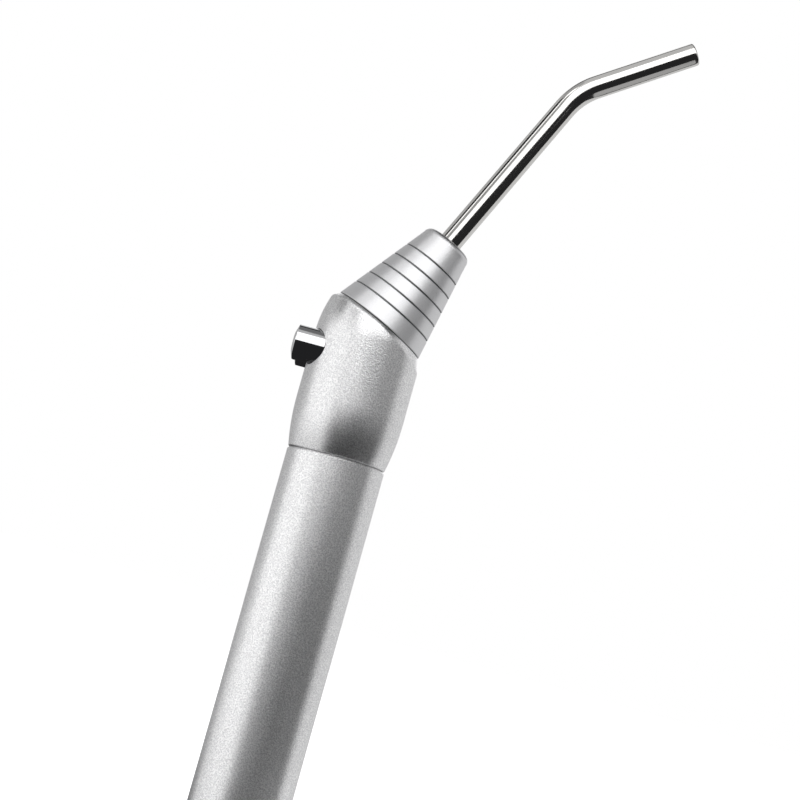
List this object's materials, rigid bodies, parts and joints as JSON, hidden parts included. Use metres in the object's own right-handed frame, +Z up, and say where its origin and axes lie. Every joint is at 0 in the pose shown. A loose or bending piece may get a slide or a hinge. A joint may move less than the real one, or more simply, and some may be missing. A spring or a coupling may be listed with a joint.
{
  "type": "three-way dental syringe",
  "caption": "Straight-handled three-way dental air and water syringe with side-by-side thumb buttons, grooved conical nut and bent steel nozzle.",
  "frame": {"origin": "centre of the handle's lower face, at the mouth of the hose inlet", "axes": "+Z up the handle's axis towards the head, buttons face -X, nozzle leans and bends towards +X, Y across"},
  "size_m": [0.0524, 0.0182, 0.1753],
  "materials": {
    "blasted_aluminium": "bead-blasted, clear anodised, fine sparkle",
    "turned_aluminium": "fine turned, satin",
    "polished_steel": "polished stainless steel",
    "chrome": "bright chrome plate",
    "spring_steel": "drawn stainless wire",
    "plated_brass": "nickel-plated, machined",
    "brass": "turned, bare",
    "white_plastic": "smooth PTFE",
    "black_plastic": "moulded, satin",
    "black_rubber": "smooth O-ring rubber"
  },
  "bodies": {
    "handle": {"handle_sleeve": "blasted_aluminium", "head_shell": "blasted_aluminium", "air_supply_tube": "polished_steel", "water_supply_tube": "polished_steel", "valve_body": "plated_brass", "nozzle_socket": "plated_brass", "rear_connector": "plated_brass", "hose_barb_air": "brass", "hose_barb_water": "brass", "rear_bush": "black_plastic", "sleeve_o_ring": "black_rubber", "nozzle_o_ring_front": "black_rubber", "nozzle_o_ring_rear": "black_rubber", "button_guide_air": "brass", "gland_o_ring_air": "black_rubber", "button_guide_water": "brass", "gland_o_ring_water": "black_rubber"},
    "air_button": {"button_air": "chrome", "valve_stem_air": "polished_steel", "stem_o_ring_air": "black_rubber", "return_spring_air": "spring_steel"},
    "water_button": {"button_water": "chrome", "valve_stem_water": "polished_steel", "stem_o_ring_water": "black_rubber", "return_spring_water": "spring_steel"},
    "nut_washer": {"slip_washer": "white_plastic"},
    "nozzle_nut": {"nozzle_nut": "turned_aluminium"},
    "nozzle_collet": {"nozzle_collet": "brass"},
    "nozzle": {"nozzle_tube": "polished_steel", "water_tube": "polished_steel", "nozzle_ferrule": "brass", "spray_tip_plug": "brass"}
  },
  "joints": [
    {"name": "air_button_press", "type": "slide", "parent": "handle", "child": "air_button", "axis": [1, 0, 0], "range_m": [0, 0.002], "stiffness_N_per_m": 800, "springref_m": -0.004, "deforming": ["return_spring_air"]},
    {"name": "water_button_press", "type": "slide", "parent": "handle", "child": "water_button", "axis": [1, 0, 0], "range_m": [0, 0.002], "stiffness_N_per_m": 800, "springref_m": -0.004, "deforming": ["return_spring_water"]},
    {"name": "nut_advance", "type": "slide", "parent": "handle", "child": "nut_washer", "axis": [0.4195, 0, 0.9078], "range_m": [0, 0.00601]},
    {"name": "nut_turn", "type": "hinge", "parent": "nut_washer", "child": "nozzle_nut", "pos_m": [0.0008, 0, 0.1152], "axis": [0.4195, 0, 0.9078], "range_deg": [0, 2160]},
    {"name": "nozzle_swivel", "type": "hinge", "parent": "handle", "child": "nozzle_collet", "pos_m": [0.0008, 0, 0.1152], "axis": [0.4195, 0, 0.9078], "continuous": true},
    {"name": "nozzle_pull", "type": "slide", "parent": "nozzle_collet", "child": "nozzle", "axis": [0.4195, 0, 0.9078], "range_m": [0, 0.03]}
  ],
  "couplings": [
    {"joint": "nut_advance", "follows": "nut_turn", "m_per_rad": 0.00015915}
  ]
}
